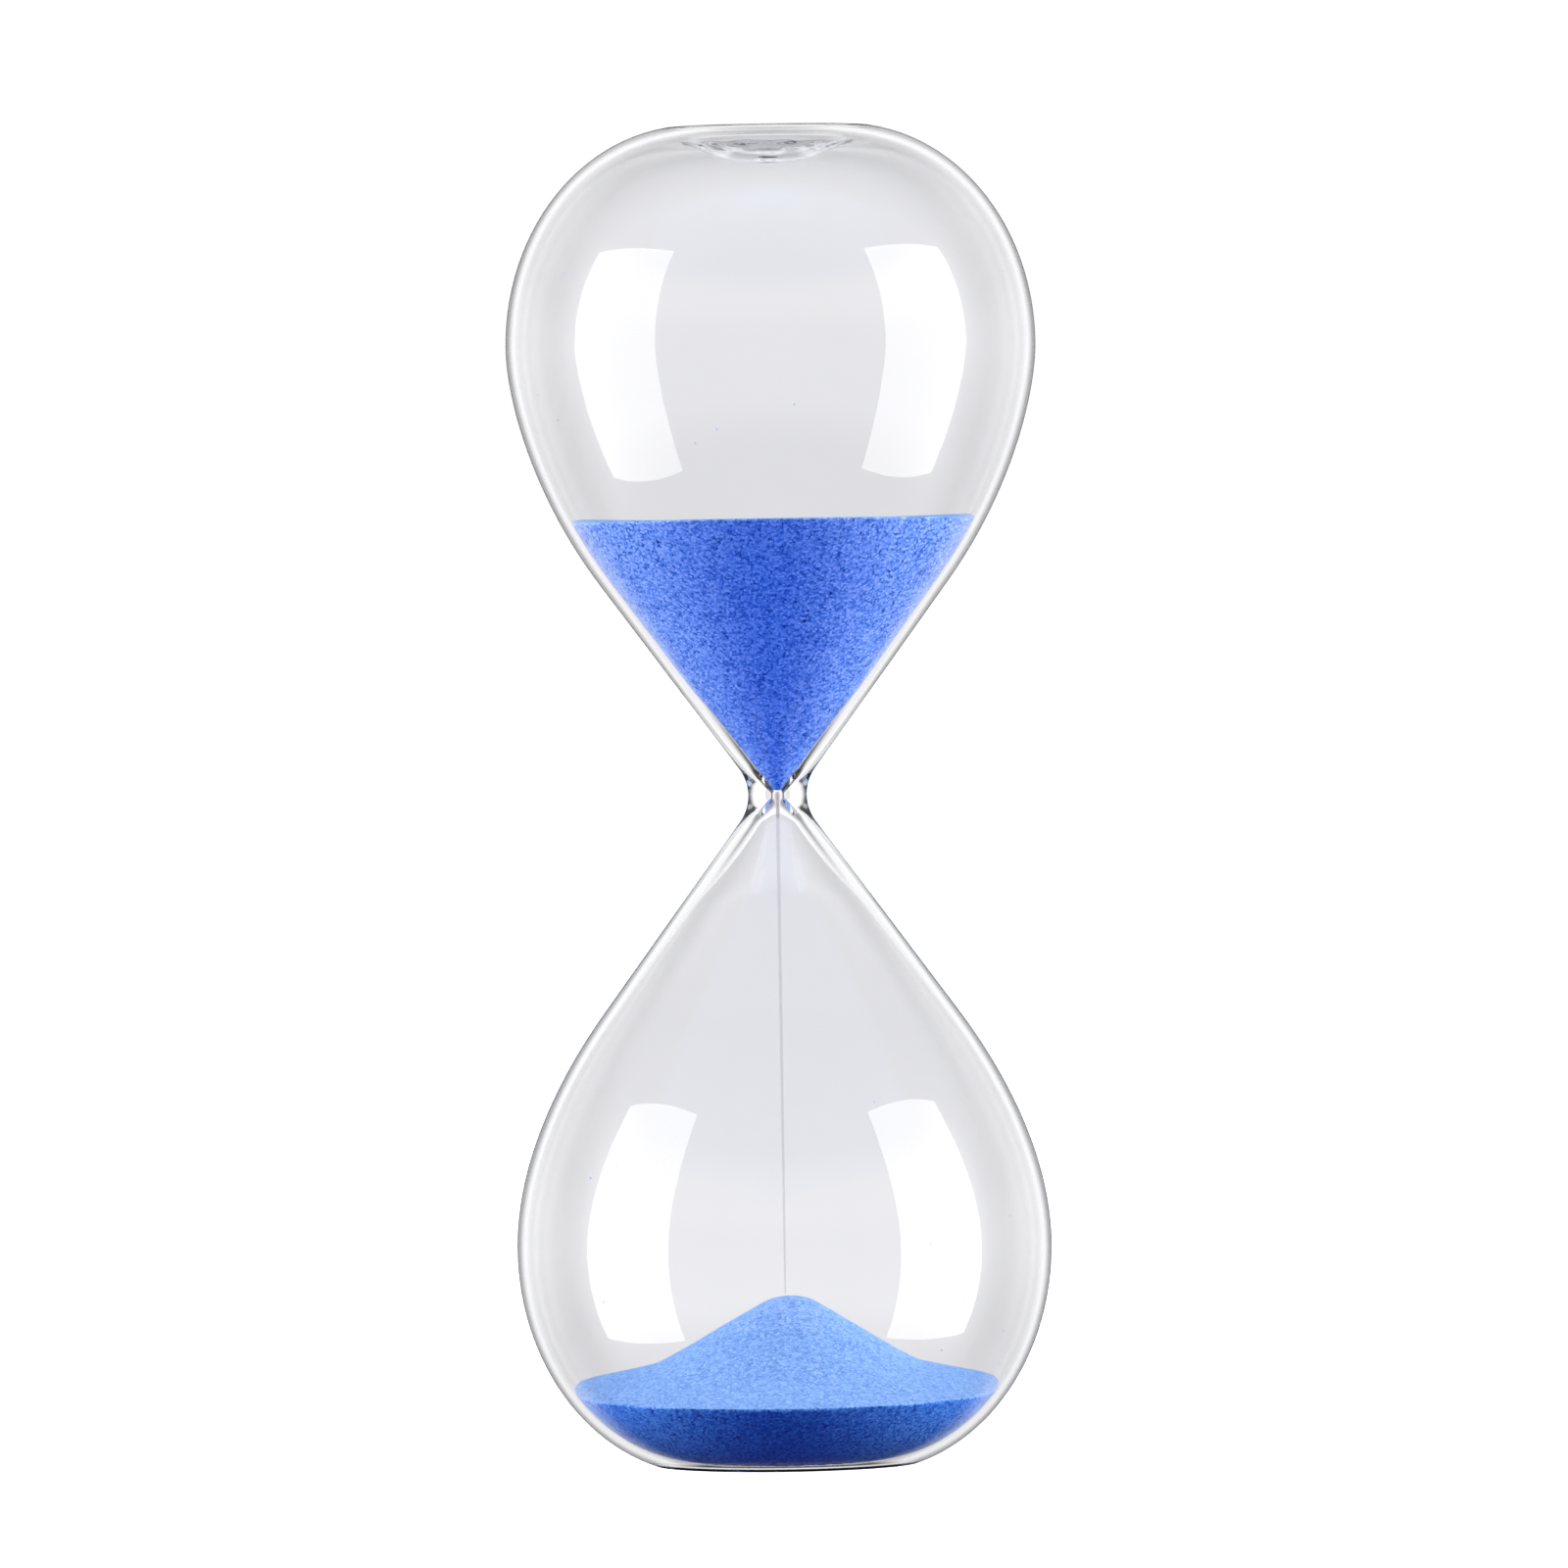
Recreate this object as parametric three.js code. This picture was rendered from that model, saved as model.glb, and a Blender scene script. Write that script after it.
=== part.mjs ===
// Frameless hourglass: two blown glass bulbs fused to a thick drawn neck, each end closed by a
// fused seal disc, with fine blue sand running from the upper bulb to a heap in the lower one.
// Millimetres, +Z up, origin on the axis at the face that the hourglass stands on.
import * as THREE from 'three';

// ---- Driving dimensions ----

// One glass half, from its end face to the middle of the neck. Heights are measured from that face.
const LOWER_BULB = {
  height: 80.1, // end face to the middle of the neck
  radius: 32.0, // outside, at the widest point
  widestHeight: 26.1, // end face to the widest point
  shoulderCentre: 9.9, // distance of the rounded shoulder's centre from the axis
  footRadius: 15.7, // outer edge of the flat standing ring
  coneAngle: 36.2, // slope of the funnel wall, in degrees from the axis
  coneDrop: 10.7, // how much the radius has shrunk where the straight funnel wall starts
  bulgePull: 12.0, // how far the belly's curve stays upright above the widest point
  conePull: 6.0, // how far the belly's curve leans into the funnel wall
};
const UPPER_BULB = {
  height: 79.9,
  radius: 31.7,
  widestHeight: 26.1,
  shoulderCentre: 9.3,
  footRadius: 12.4,
  coneAngle: 36.3,
  coneDrop: 10.9,
  bulgePull: 5.6,
  conePull: 13.8,
};
const WALL = 1.1; // blown wall of both bulbs
const FOOT_RING_WIDTH = 1.5; // flat annulus that each end stands on
const PUNT_DEPTH = 3.4; // how far the middle of an end is pushed in
const PUNT_POWER = 3; // 2 is a plain bowl, higher is a flatter floor with steeper sides
const END_THICKNESS = 2.0; // glass in the middle of an end, where it was closed

const WAIST_RADIUS = 3.5; // outside of the neck at its thinnest
const WAIST_FILLET = 5.4; // hollow curve between the neck and the funnels
const NECK_HALF_HEIGHT = 9.0; // middle of the neck to where it is fused to a bulb
const NECK_WALL = 1.4; // glass round the narrow funnel
const FUNNEL_HEIGHT = 5.7; // middle of the neck to the top of the narrow funnel
const FUNNEL_STEP = 2.1; // height over which the narrow funnel opens to the bulb's wall
const THROAT_RADIUS = 0.6; // the hole that times the sand
const THROAT_LAND = 0.8; // length of that hole

const SEAL_RADIUS = 7.2; // fused disc that closes the filling hole
const PIP_RADIUS = 1.6; // drawn-off tip in the middle of the disc
const PIP_HEIGHT = 0.9;
const WELD_GAP = 0.2; // room between glass pieces, which the fused seam fills

const SAND_GAP = 0.3; // grains stand this far off the glass
const UPPER_SAND_LEVEL = 33.2; // middle of the neck to the surface of the upper sand
const CRATER_RADIUS = 10.0; // dimple above the throat where the sand sinks
const CRATER_DEPTH = 3.5;
const HEAP_RIM_HEIGHT = 9.4; // where the lower sand meets the glass
const HEAP_PEAK_HEIGHT = 20.2;
const HEAP_TIP_RADIUS = 3.2; // rounded tip under the stream
const HEAP_TIP_DROP = 0.7;
const HEAP_SLOPE = 31.3; // angle of repose of the cone, in degrees
const HEAP_CONE_RADIUS = 15.6; // foot of the cone, where the old flat bed starts
const STREAM_TOP_RADIUS = 0.25; // falling thread of grains, thinner as it speeds up
const STREAM_BOTTOM_RADIUS = 0.18;

const TOTAL_HEIGHT = LOWER_BULB.height + UPPER_BULB.height;
const ROUND_SEGMENTS = 32; // facets round the axis
const STREAM_SEGMENTS = 12;
const ARC_STEPS = 8; // facets along each curve of the outline
const DOME_STEPS = 4;

// ---- Outline of one glass half, as (distance from the axis, height from the end face) ----

const point = (r, u) => new THREE.Vector2(r, u);
const radians = THREE.MathUtils.degToRad;

// Pairs of a point on the outside and the direction into the glass there, from the standing ring
// to the foot of the neck's hollow curve.
function wallStations(bulb) {
  const stations = [];
  const reach = bulb.radius - bulb.shoulderCentre;
  const footTurn = Math.acos((bulb.footRadius - bulb.shoulderCentre) / reach);
  const rise = bulb.widestHeight / Math.sin(footTurn);
  for (let i = 0; i <= ARC_STEPS; i++) {
    const turn = footTurn * (1 - i / ARC_STEPS);
    stations.push({
      at: point(bulb.shoulderCentre + reach * Math.cos(turn), bulb.widestHeight - rise * Math.sin(turn)),
      inward: point(-Math.cos(turn) / reach, Math.sin(turn) / rise).normalize(),
    });
  }
  const belly = bellyCurve(bulb);
  for (let i = 1; i <= ARC_STEPS; i++) {
    const along = belly.getTangent(i / ARC_STEPS);
    stations.push({ at: belly.getPoint(i / ARC_STEPS), inward: point(-along.y, along.x) });
  }
  const { at } = filletStart(bulb);
  stations.push({ at, inward: stations.at(-1).inward });
  return stations;
}

// Where the straight funnel wall runs into the neck's hollow curve, and that curve's centre.
function filletStart(bulb) {
  const slope = radians(bulb.coneAngle);
  const centre = point(WAIST_RADIUS + WAIST_FILLET, bulb.height);
  const at = point(centre.x - WAIST_FILLET * Math.cos(slope), centre.y - WAIST_FILLET * Math.sin(slope));
  return { at, centre, slope };
}

// Outside radius of the straight funnel wall at a height.
function coneRadius(bulb, height) {
  const { at, slope } = filletStart(bulb);
  return at.x + (at.y - height) * Math.tan(slope);
}

// The belly, from the widest point to where the funnel wall is straight.
function bellyCurve(bulb) {
  const { at, slope } = filletStart(bulb);
  const coneTop = bulb.radius - bulb.coneDrop;
  const start = point(bulb.radius, bulb.widestHeight);
  const end = point(coneTop, at.y - (coneTop - at.x) / Math.tan(slope));
  return new THREE.CubicBezierCurve(
    start,
    point(start.x, start.y + bulb.bulgePull),
    point(end.x + bulb.conePull * Math.sin(slope), end.y - bulb.conePull * Math.cos(slope)),
    end,
  );
}

// A line parallel to the outside, at a depth below it, up to the start of the neck's hollow curve.
function wallLine(bulb, depth) {
  return wallStations(bulb).map(({ at, inward }) => at.clone().addScaledVector(inward, depth));
}

// The pushed-in middle of an end, from radius to radius. It starts at the height rim beside the
// standing ring and stands higher by rise on the axis.
function puntLine(bulb, from, to, rim, rise) {
  const edge = bulb.footRadius - FOOT_RING_WIDTH;
  const line = [];
  for (let i = 0; i <= DOME_STEPS; i++) {
    const r = THREE.MathUtils.lerp(from, to, i / DOME_STEPS);
    line.push(point(r, rim + rise * (1 - (r / edge) ** PUNT_POWER)));
  }
  return line;
}

const puntOutside = (bulb, from, to) => puntLine(bulb, from, to, 0, PUNT_DEPTH);
// clearance is measured from the inside of the glass into the bulb.
const puntInside = (bulb, from, to, clearance) =>
  puntLine(bulb, from, to, WALL + clearance, PUNT_DEPTH + END_THICKNESS - WALL);

// The part of a rising line between two heights, cut exactly at both.
function between(line, low, high) {
  const cut = (height) => {
    const i = line.findIndex((p) => p.y >= height);
    if (i <= 0) return null;
    const [a, b] = [line[i - 1], line[i]];
    return a.clone().lerp(b, (height - a.y) / (b.y - a.y));
  };
  const inside = line.filter((p) => p.y > low && p.y < high);
  return [cut(low), ...inside, cut(high)].filter(Boolean);
}

// Inside of the neck, from the fused seam to the throat. clearance moves it towards the axis.
function funnelLine(bulb, clearance) {
  const aside = (clear) => clear / Math.cos(radians(bulb.coneAngle));
  const stepHeight = bulb.height - FUNNEL_HEIGHT - FUNNEL_STEP;
  const funnelHeight = bulb.height - FUNNEL_HEIGHT;
  const seamHeight = bulb.height - NECK_HALF_HEIGHT + WELD_GAP;
  const wall = aside(WALL + clearance);
  return [
    point(coneRadius(bulb, seamHeight) - wall, seamHeight),
    point(coneRadius(bulb, stepHeight) - wall, stepHeight),
    point(coneRadius(bulb, funnelHeight) - aside(NECK_WALL + clearance), funnelHeight),
    point(THROAT_RADIUS - clearance, bulb.height - THROAT_LAND / 2),
  ];
}

// ---- Pieces ----

const glass = new THREE.MeshStandardMaterial({
  color: 0xeef1f4,
  roughness: 0.03,
  metalness: 0,
  transparent: true,
  opacity: 0.3,
});
const neckGlass = new THREE.MeshStandardMaterial({
  color: 0xe8ecf0,
  roughness: 0.03,
  metalness: 0,
  transparent: true,
  opacity: 0.45,
});
const blueSand = new THREE.MeshStandardMaterial({ color: 0x3f6fe0, roughness: 0.9, metalness: 0 });

// Heights above the standing face for a line that is measured from a bulb's own end.
const asLower = (line) => line.map((p) => point(p.x, p.y));
const asUpper = (line) => line.map((p) => point(p.x, TOTAL_HEIGHT - p.y)).reverse();

// A solid of revolution about Z from an outline that runs counter-clockwise in (radius, height).
function turned(name, outline, material, segments = ROUND_SEGMENTS) {
  const geometry = new THREE.LatheGeometry(outline, segments).rotateX(Math.PI / 2);
  const mesh = new THREE.Mesh(geometry, material);
  mesh.name = name;
  return mesh;
}

// Bulb shell: outside up to the seam, then back down the inside to the edge of the filling hole.
function bulbOutline(bulb) {
  const seam = bulb.height - NECK_HALF_HEIGHT;
  const hole = SEAL_RADIUS + WELD_GAP;
  const edge = bulb.footRadius - FOOT_RING_WIDTH;
  const outside = [...puntOutside(bulb, hole, edge), ...between(wallLine(bulb, 0), -1, seam)];
  const inside = [...puntInside(bulb, hole, edge, 0), ...between(wallLine(bulb, WALL), -1, seam)];
  return [...outside, ...inside.reverse(), outside[0].clone()];
}

function neckOutline() {
  const half = (bulb) => {
    const seam = bulb.height - NECK_HALF_HEIGHT + WELD_GAP;
    const { centre, slope } = filletStart(bulb);
    const line = [point(coneRadius(bulb, seam), seam)];
    for (let i = 0; i <= ARC_STEPS / 2; i++) {
      const turn = slope * (1 - (2 * i) / ARC_STEPS);
      line.push(point(centre.x - WAIST_FILLET * Math.cos(turn), centre.y - WAIST_FILLET * Math.sin(turn)));
    }
    return line;
  };
  const outside = [...asLower(half(LOWER_BULB)), ...asUpper(half(UPPER_BULB)).slice(1)];
  const inside = [...asLower(funnelLine(LOWER_BULB, 0)), ...asUpper(funnelLine(UPPER_BULB, 0))];
  return [...outside, ...inside.reverse(), outside[0].clone()];
}

// Seal disc: it carries the end's hollow on across the filling hole, with a pip in the middle.
function sealOutline(bulb) {
  const outer = puntOutside(bulb, PIP_RADIUS, SEAL_RADIUS);
  const inner = puntInside(bulb, 0, SEAL_RADIUS, 0);
  const pip = point(0, outer[0].y - PIP_HEIGHT);
  const pipEdge = point(PIP_RADIUS / 2, outer[0].y - PIP_HEIGHT * 0.75);
  return [pip, pipEdge, ...outer, ...inner.reverse()];
}

function upperSandOutline() {
  const bulb = UPPER_BULB;
  const seam = bulb.height - NECK_HALF_HEIGHT + WELD_GAP;
  const level = bulb.height - UPPER_SAND_LEVEL;
  const side = between(wallLine(bulb, WALL + SAND_GAP), level, seam);
  const funnel = funnelLine(bulb, SAND_GAP);
  const sides = asUpper([...side, ...funnel.slice(1)]);
  const top = TOTAL_HEIGHT - level;
  const surface = [];
  for (let i = 0; i <= ARC_STEPS; i++) {
    const r = CRATER_RADIUS * (1 - i / ARC_STEPS);
    const dip = (CRATER_DEPTH / 2) * (1 + Math.cos((Math.PI * r) / CRATER_RADIUS));
    surface.push(point(r, top - dip));
  }
  return [point(0, sides[0].y), ...sides, ...surface];
}

// The lower sand rests in the bulb's end, and its heap stands on the older flat bed.
function lowerSandOutline() {
  const bulb = LOWER_BULB;
  const floor = puntInside(bulb, 0, bulb.footRadius - FOOT_RING_WIDTH, SAND_GAP);
  const side = between(wallLine(bulb, WALL + SAND_GAP), -1, HEAP_RIM_HEIGHT);
  const shoulder = HEAP_PEAK_HEIGHT - HEAP_TIP_DROP;
  const coneFoot = shoulder - (HEAP_CONE_RADIUS - HEAP_TIP_RADIUS) * Math.tan(radians(HEAP_SLOPE));
  const surface = [
    point(HEAP_CONE_RADIUS, coneFoot),
    point(HEAP_TIP_RADIUS, shoulder),
    point(HEAP_TIP_RADIUS / 2, HEAP_PEAK_HEIGHT - HEAP_TIP_DROP / 4),
    point(0, HEAP_PEAK_HEIGHT),
  ];
  return [...floor, ...side, ...surface];
}

function streamOutline() {
  const top = LOWER_BULB.height + THROAT_LAND / 2 - SAND_GAP;
  const bottom = HEAP_PEAK_HEIGHT + SAND_GAP;
  return [
    point(0, bottom),
    point(STREAM_BOTTOM_RADIUS, bottom),
    point(STREAM_TOP_RADIUS, top),
    point(0, top),
  ];
}

// ---- Assembly ----

const hourglass = new THREE.Group();
hourglass.add(
  turned('lower_bulb', asLower(bulbOutline(LOWER_BULB)), glass),
  turned('upper_bulb', asUpper(bulbOutline(UPPER_BULB)), glass),
  turned('neck', neckOutline(), neckGlass),
  turned('lower_seal_disc', asLower(sealOutline(LOWER_BULB)), glass),
  turned('upper_seal_disc', asUpper(sealOutline(UPPER_BULB)), glass),
  turned('upper_sand', upperSandOutline(), blueSand),
  turned('falling_sand', streamOutline(), blueSand, STREAM_SEGMENTS),
  turned('lower_sand', lowerSandOutline(), blueSand),
);

export default hourglass;
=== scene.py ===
"""A frameless blown-glass hourglass with blue sand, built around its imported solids."""

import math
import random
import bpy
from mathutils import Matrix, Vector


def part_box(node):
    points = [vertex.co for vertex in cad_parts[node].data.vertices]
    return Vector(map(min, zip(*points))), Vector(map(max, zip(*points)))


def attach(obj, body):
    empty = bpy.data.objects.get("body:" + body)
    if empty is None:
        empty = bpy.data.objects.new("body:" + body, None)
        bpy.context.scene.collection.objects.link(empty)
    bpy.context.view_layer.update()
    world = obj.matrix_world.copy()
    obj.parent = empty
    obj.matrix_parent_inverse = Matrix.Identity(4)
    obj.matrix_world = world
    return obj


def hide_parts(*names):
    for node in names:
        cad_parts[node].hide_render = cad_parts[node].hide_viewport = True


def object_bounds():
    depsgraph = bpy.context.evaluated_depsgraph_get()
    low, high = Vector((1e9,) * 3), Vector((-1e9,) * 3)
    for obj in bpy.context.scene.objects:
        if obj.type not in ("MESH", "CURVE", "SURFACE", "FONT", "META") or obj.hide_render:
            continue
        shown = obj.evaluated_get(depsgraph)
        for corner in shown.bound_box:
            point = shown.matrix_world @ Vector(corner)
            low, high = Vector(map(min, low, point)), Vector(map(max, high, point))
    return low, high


bl_info = {
    "name": "Hourglass",
    "version": (1, 0, 0),
    "blender": (4, 5, 0),
    "location": "View3D > Sidebar > Hourglass",
    "description": "Builds a frameless blown-glass hourglass, its blue sand and a plain studio",
    "category": "Add Mesh",
}

import bpy
from bpy.props import FloatProperty, FloatVectorProperty, IntProperty, PointerProperty
from mathutils import Matrix, Vector, noise

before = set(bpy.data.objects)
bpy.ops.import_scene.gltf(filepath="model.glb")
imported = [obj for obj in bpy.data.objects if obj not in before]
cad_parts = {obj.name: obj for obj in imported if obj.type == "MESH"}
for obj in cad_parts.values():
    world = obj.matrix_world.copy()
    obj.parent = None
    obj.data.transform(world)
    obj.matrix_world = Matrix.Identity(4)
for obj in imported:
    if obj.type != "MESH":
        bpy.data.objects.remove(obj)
CAD_LOW, CAD_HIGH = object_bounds()
LOWER_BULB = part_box("lower_bulb")
UPPER_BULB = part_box("upper_bulb")
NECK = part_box("neck")
UPPER_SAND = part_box("upper_sand")
LOWER_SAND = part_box("lower_sand")
SEAL_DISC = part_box("lower_seal_disc")

MM = 0.001
TOTAL_HEIGHT = CAD_HIGH.z
NECK_MIDDLE = (NECK[0].z + NECK[1].z) / 2


# ---------------------------------------------------------------------------------------------
# Sizes and colours that a user would change
# ---------------------------------------------------------------------------------------------


def length(name, description, default):
    """A length in metres."""
    return FloatProperty(
        name=name, description=description, default=default, unit="LENGTH", precision=5
    )


def angle(name, description, degrees):
    """An angle, given here in degrees."""
    return FloatProperty(
        name=name, description=description, default=math.radians(degrees), unit="ROTATION"
    )


def srgb(code):
    """Linear RGBA of an sRGB hex colour such as "3F6FE0"."""
    channels = [int(code[i : i + 2], 16) / 255 for i in (0, 2, 4)]
    linear = [c / 12.92 if c <= 0.04045 else ((c + 0.055) / 1.055) ** 2.4 for c in channels]
    return (*linear, 1.0)


def colour(name, description, code):
    """A colour swatch whose default is an sRGB hex code."""
    return FloatVectorProperty(
        name=name,
        description=description,
        default=srgb(code),
        size=4,
        min=0,
        max=1,
        subtype="COLOR",
    )


class LowerBulbShape(bpy.types.PropertyGroup):
    """Outline of the lower bulb, from its standing ring to the neck."""

    height: length("Height", "Standing ring to the middle of the neck", NECK_MIDDLE)
    radius: length("Radius", "Outside radius at the widest point", LOWER_BULB[1].x)
    widest: length("Widest height", "Standing ring to the widest point", 26.1 * MM)
    shoulder: length("Shoulder centre", "Axis to the centre of the rounded shoulder", 9.9 * MM)
    foot: length("Foot radius", "Outer edge of the flat standing ring", 15.7 * MM)
    cone: angle("Cone angle", "Slope of the funnel wall from the axis", 36.2)
    drop: length("Cone drop", "Shrinkage of the radius where the wall gets straight", 10.7 * MM)
    bulge_pull: length("Bulge pull", "How far the belly stays upright", 12.0 * MM)
    cone_pull: length("Cone pull", "How far the belly leans into the funnel wall", 6.0 * MM)


class UpperBulbShape(bpy.types.PropertyGroup):
    """Outline of the upper bulb, from its end ring down to the neck."""

    height: length("Height", "End ring to the middle of the neck", TOTAL_HEIGHT - NECK_MIDDLE)
    radius: length("Radius", "Outside radius at the widest point", UPPER_BULB[1].x)
    widest: length("Widest height", "End ring to the widest point", 26.1 * MM)
    shoulder: length("Shoulder centre", "Axis to the centre of the rounded shoulder", 9.3 * MM)
    foot: length("Foot radius", "Outer edge of the flat end ring", 12.4 * MM)
    cone: angle("Cone angle", "Slope of the funnel wall from the axis", 36.3)
    drop: length("Cone drop", "Shrinkage of the radius where the wall gets straight", 10.9 * MM)
    bulge_pull: length("Bulge pull", "How far the belly stays upright", 5.6 * MM)
    cone_pull: length("Cone pull", "How far the belly leans into the funnel wall", 13.8 * MM)


class GlassShape(bpy.types.PropertyGroup):
    """Sizes that both bulbs and the neck share."""

    wall: length("Wall", "Blown wall of both bulbs", 1.1 * MM)
    end_wall: length("End wall", "Glass in the middle of an end", 1.4 * MM)
    ring_width: length("Ring width", "Flat annulus that each end stands on", 1.5 * MM)
    punt_depth: length("Punt depth", "How far the middle of an end is pushed in", 2.8 * MM)
    seal_radius: length("Seal radius", "Fused mark round the filling hole", SEAL_DISC[1].x)
    seal_bead: length("Seal bead", "Height of that mark", 0.06 * MM)
    pip_height: length("Pip height", "Drawn-off tip in the middle of an end", 0.25 * MM)
    ripple: length("Ripple", "Unevenness of the glass round the mark", 0.05 * MM)
    waist: length("Waist radius", "Outside of the neck at its thinnest", 3.5 * MM)
    fillet: length("Waist fillet", "Hollow curve between the neck and the funnels", 5.4 * MM)
    funnel_height: length("Funnel height", "Waist to where the thick neck ends", 13.0 * MM)
    funnel_start: angle("Funnel start", "Slope of the funnel at the throat", 31)
    throat: length("Throat radius", "The hole that times the sand", 0.6 * MM)
    throat_land: length("Throat land", "Length of that hole", 0.8 * MM)
    round_steps: IntProperty(
        name="Round steps", description="Facets round the axis", default=160, min=32
    )


class SandShape(bpy.types.PropertyGroup):
    """Sizes of the sand in both bulbs."""

    gap: length("Gap", "Grains stand this far off the glass", 0.12 * MM)
    upper_level: length("Upper level", "Height of the upper sand's surface", UPPER_SAND[1].z)
    crater_radius: length("Crater radius", "Dimple over the throat", 10.0 * MM)
    crater_depth: length("Crater depth", "Depth of that dimple", 3.5 * MM)
    peak: length("Peak", "Top of the heap", LOWER_SAND[1].z)
    peak_shift: length("Peak shift", "How far the peak lies beside the axis", 0.7 * MM)
    rim: length("Rim", "Height where the lower sand meets the glass", 9.4 * MM)
    rim_tilt: length("Rim tilt", "How much lower the bed lies at the front", 1.1 * MM)
    tip_radius: length("Tip radius", "Rounded tip under the stream", 3.2 * MM)
    tip_drop: length("Tip drop", "Fall from the tip to the straight slope", 0.7 * MM)
    slope: angle("Slope", "Angle of repose of the cone", 31.3)
    cone_radius: length("Cone radius", "Foot of the cone, where the flat bed starts", 15.6 * MM)
    grain: length("Grain", "Width of one grain", 0.34 * MM)
    voxel: length("Mesh size", "Edge length of the sand's mesh", 0.30 * MM)


class Colours(bpy.types.PropertyGroup):
    """Colours of the glass and the sand."""

    glass: colour("Glass", "Body tint of clear glass", "F8F8FA")
    sand_dark: colour("Sand, dark", "Rare grains of dark mineral", "19306C")
    sand_deep: colour("Sand, deep", "Heavily dyed grains", "4B7BC5")
    sand_blue: colour("Sand, blue", "Most grains", "87AEE0")
    sand_pale: colour("Sand, pale", "Thinly dyed grains", "B4CEEF")
    sand_white: colour("Sand, white", "Grains that the dye missed", "CBE3FF")
    # Painted shade: the next colour darkens the sand under the rim of the bed in the lower bulb.
    sand_painted_shade: colour("Sand, settled", "Darkening of the oldest sand at the bottom", "A8E4FF")
    stream: colour("Stream", "Falling grains, blurred by their speed", "39405A")
    throat: colour("Throat", "Light caught in the throat", "F2D9B4")
    floor: colour("Floor", "Pale studio floor", "F2F2F2")


class Studio(bpy.types.PropertyGroup):
    """Camera and lamps."""

    camera_distance: length("Camera distance", "Camera to the axis", 1.6)
    camera_height: length("Camera height", "Height of the lens over the floor", 102.5 * MM)
    camera_pitch: angle("Camera pitch", "Downward tilt", 0.756)
    camera_roll: angle("Camera roll", "Turn about the line of sight", 0.9)
    camera_aside: length("Camera aside", "How far the camera stands to the right", 0.8 * MM)
    lens: FloatProperty(
        name="Lens", description="Focal length in millimetres", default=307.0, min=10
    )
    softbox_azimuth: angle("Softbox azimuth", "From the camera's side to a softbox", 75)
    softbox_facing: angle("Softbox facing", "Azimuth that a softbox is turned to", 51)
    side_azimuth_left: angle("Left light azimuth", "Where the left sand light stands", -87)
    side_azimuth_right: angle("Right light azimuth", "Where the right sand light stands", 85)
    softbox_distance: length("Softbox distance", "Axis to a softbox", 0.905)
    softbox_middle: length("Softbox middle", "Height of its middle over the floor", 0.13)
    softbox_width: length("Softbox width", "Its lit face, level", 0.76)
    softbox_height: length("Softbox height", "Its lit face, upright", 1.33)


# ---------------------------------------------------------------------------------------------
# Light levels, as linear radiance: 0.8 shows as the pale grey of clear glass
# ---------------------------------------------------------------------------------------------

# The surroundings as the lens sees them past the glass.
BACKDROP = (1.05, 1.05, 1.05, 1)
# What lights the sand from all round: a dim blue fill, so the studio's light isn't neutral.
AMBIENT = (0.01, 0.11, 0.31, 1)
# What shows through the glass, by degrees from the middle of the backdrop. The bright ring at 18
# to 24 gives the white line inside the outline, and the dark one at 60 to 74 the neck's strokes.
SEEN_THROUGH = (
    (0, 0.935), (1.5, 0.935), (3.5, 1.02), (8, 0.92), (16, 0.86), (18.5, 1.35), (24, 1.35),
    (30, 1.1), (42, 1.1), (54, 0.4), (60, 0.08), (74, 0.08), (82, 0.85), (180, 0.9),
)
# The same for directions that go steeply up or down.
OVERHEAD = (0.4, 0.4, 0.4, 1)
UNDERFOOT = (0.05, 0.05, 0.05, 1)
STEEP_FROM, STEEP_TO = 0.42, 0.60
# What the outer face of the glass mirrors, by the same degrees. Black behind the glass gives the
# dark outline.
SEEN_REFLECTED = ((0, 0.0), (25, 0.0), (34, 0.7), (66, 0.95), (85, 0.7), (97, 0.04), (180, 0.04))
CEILING_REFLECTED = ((0, 0.3), (60, 0.45), (85, 0.55), (100, 0.65), (180, 0.65))
TABLE_REFLECTED = (0.02, 0.02, 0.02, 1)
CEILING_FROM, CEILING_TO = 0.09, 0.25
TABLE_FROM, TABLE_TO = -0.05, -0.35
# Blue light that the floor throws up at the sand, by metres beside the axis. The lens doesn't see
# it. It is weak under the middle, so that the front of the sand stays deep.
FLOOR_LIT = (
    (0.0, (0.0, 0.03, 0.25, 1)),
    (0.02, (0.0, 0.04, 0.32, 1)),
    (0.06, (0.06, 0.38, 2.4, 1)),
    (0.15, (0.0, 0.16, 0.66, 1)),
    (0.40, (0.0, 0.12, 0.5, 1)),
)
SOFTBOX = 4.6
SIDE_LIGHT = {"left": 9.4, "right": 10.8}
SIDE_LIGHT_DISTANCE, SIDE_LIGHT_WIDTH, SIDE_LIGHT_HEIGHT = 0.9, 0.75, 1.2
TOP_LIGHT = 1.9
TOP_LIGHT_HEIGHT, TOP_LIGHT_SIZE = 1.0, 0.9


# ---------------------------------------------------------------------------------------------
# Outlines, as points (distance from the axis, height)
# ---------------------------------------------------------------------------------------------

SHOULDER_STEPS = 26
BELLY_STEPS = 26
CONE_STEPS = 8
FILLET_STEPS = 14
PUNT_STEPS = 26
FUNNEL_STEPS = 22
PUNT_POWER = 3
BEAD_WIDTH = 0.35 * MM
PIP_WIDTH = 0.8 * MM
FUNNEL_PULL = 0.32
SEAM_OVERLAP = 0.1 * MM


def bezier(p0, p1, p2, p3, steps):
    """Points along a cubic curve, both ends included."""
    line = []
    for i in range(steps + 1):
        t = i / steps
        s = 1 - t
        line.append(s**3 * p0 + 3 * s * s * t * p1 + 3 * s * t * t * p2 + t**3 * p3)
    return line


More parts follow.
